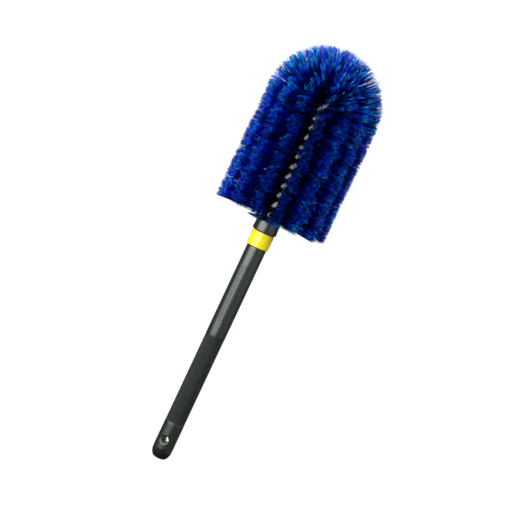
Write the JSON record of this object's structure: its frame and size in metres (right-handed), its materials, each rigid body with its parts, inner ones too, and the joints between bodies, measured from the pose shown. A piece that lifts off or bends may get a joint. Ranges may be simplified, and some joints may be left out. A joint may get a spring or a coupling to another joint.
{
  "type": "wheel brush",
  "caption": "Long-reach wheel brush: tubular grip handle with a hang hole, coloured band, ferrule, and a round-ended head of soft filaments on a flexible twisted-wire spine.",
  "frame": {"origin": "middle of the hang hole, on the handle's axis", "axes": "+Z along the handle's axis, towards the tip of the head; +Y along the hang hole, from its wider mouth to its narrower one; +X completes the right-handed frame"},
  "size_m": [0.1188, 0.1193, 0.4634],
  "materials": {
    "sleeve_rubber": "satin",
    "cap_plastic": "satin",
    "core_plastic": "satin",
    "ferrule_plastic": "satin",
    "ring_plastic": "gloss",
    "plug_plastic": "matte",
    "wire_coating": "satin",
    "wire_steel": "satin",
    "filament": "satin"
  },
  "bodies": {
    "handle": {"end_cap": "cap_plastic", "handle_core": "core_plastic", "grip_sleeve": "sleeve_rubber", "band_ring": "ring_plastic", "ferrule": "ferrule_plastic", "stem_plug": "plug_plastic", "wire_a_coating_stem": "wire_coating", "wire_a_steel_stem": "wire_steel", "wire_b_coating_stem": "wire_coating", "wire_b_steel_stem": "wire_steel"},
    "head_1": {"filaments_1": "filament", "wire_a_coating_1": "wire_coating", "wire_a_steel_1": "wire_steel", "wire_b_coating_1": "wire_coating", "wire_b_steel_1": "wire_steel"},
    "head_2": {"filaments_2": "filament", "wire_a_coating_2": "wire_coating", "wire_a_steel_2": "wire_steel", "wire_b_coating_2": "wire_coating", "wire_b_steel_2": "wire_steel"},
    "head_3": {"filaments_3": "filament", "wire_a_coating_3": "wire_coating", "wire_a_steel_3": "wire_steel", "wire_b_coating_3": "wire_coating", "wire_b_steel_3": "wire_steel"},
    "head_4": {"filaments_4": "filament", "wire_a_coating_4": "wire_coating", "wire_a_steel_4": "wire_steel", "wire_b_coating_4": "wire_coating", "wire_b_steel_4": "wire_steel"},
    "head_5": {"filaments_5": "filament", "wire_a_coating_5": "wire_coating", "wire_a_steel_5": "wire_steel", "wire_b_coating_5": "wire_coating", "wire_b_steel_5": "wire_steel"},
    "head_6": {"filaments_6": "filament", "wire_a_coating_6": "wire_coating", "wire_a_steel_6": "wire_steel", "wire_b_coating_6": "wire_coating", "wire_b_steel_6": "wire_steel", "tip_loop_coating": "wire_coating", "tip_loop_steel": "wire_steel", "filaments_tip": "filament"}
  },
  "joints": [
    {"name": "spine_bend_x_1", "type": "hinge", "parent": "handle", "child": "head_1", "pos_m": [0, 0, 0.2526], "axis": [1, 0, 0], "range_deg": [-10, 10], "stiffness_Nm_per_rad": 16, "deforming": ["filaments_1"]},
    {"name": "spine_bend_y_1", "type": "hinge", "parent": "head_1", "child": "head_2", "pos_m": [0, 0, 0.2742], "axis": [0, 1, 0], "range_deg": [-10, 10], "stiffness_Nm_per_rad": 16, "deforming": ["filaments_2"]},
    {"name": "spine_bend_x_2", "type": "hinge", "parent": "head_2", "child": "head_3", "pos_m": [0, 0, 0.2958], "axis": [1, 0, 0], "range_deg": [-10, 10], "stiffness_Nm_per_rad": 16, "deforming": ["filaments_3"]},
    {"name": "spine_bend_y_2", "type": "hinge", "parent": "head_3", "child": "head_4", "pos_m": [0, 0, 0.3174], "axis": [0, 1, 0], "range_deg": [-10, 10], "stiffness_Nm_per_rad": 16, "deforming": ["filaments_4"]},
    {"name": "spine_bend_x_3", "type": "hinge", "parent": "head_4", "child": "head_5", "pos_m": [0, 0, 0.339], "axis": [1, 0, 0], "range_deg": [-10, 10], "stiffness_Nm_per_rad": 16, "deforming": ["filaments_5"]},
    {"name": "spine_bend_y_3", "type": "hinge", "parent": "head_5", "child": "head_6", "pos_m": [0, 0, 0.3606], "axis": [0, 1, 0], "range_deg": [-10, 10], "stiffness_Nm_per_rad": 16, "deforming": ["filaments_6", "filaments_tip"]}
  ],
  "couplings": [
    {"joint": "spine_bend_x_2", "follows": "spine_bend_x_1", "ratio": 1},
    {"joint": "spine_bend_y_2", "follows": "spine_bend_y_1", "ratio": 1},
    {"joint": "spine_bend_x_3", "follows": "spine_bend_x_1", "ratio": 1},
    {"joint": "spine_bend_y_3", "follows": "spine_bend_y_1", "ratio": 1}
  ]
}
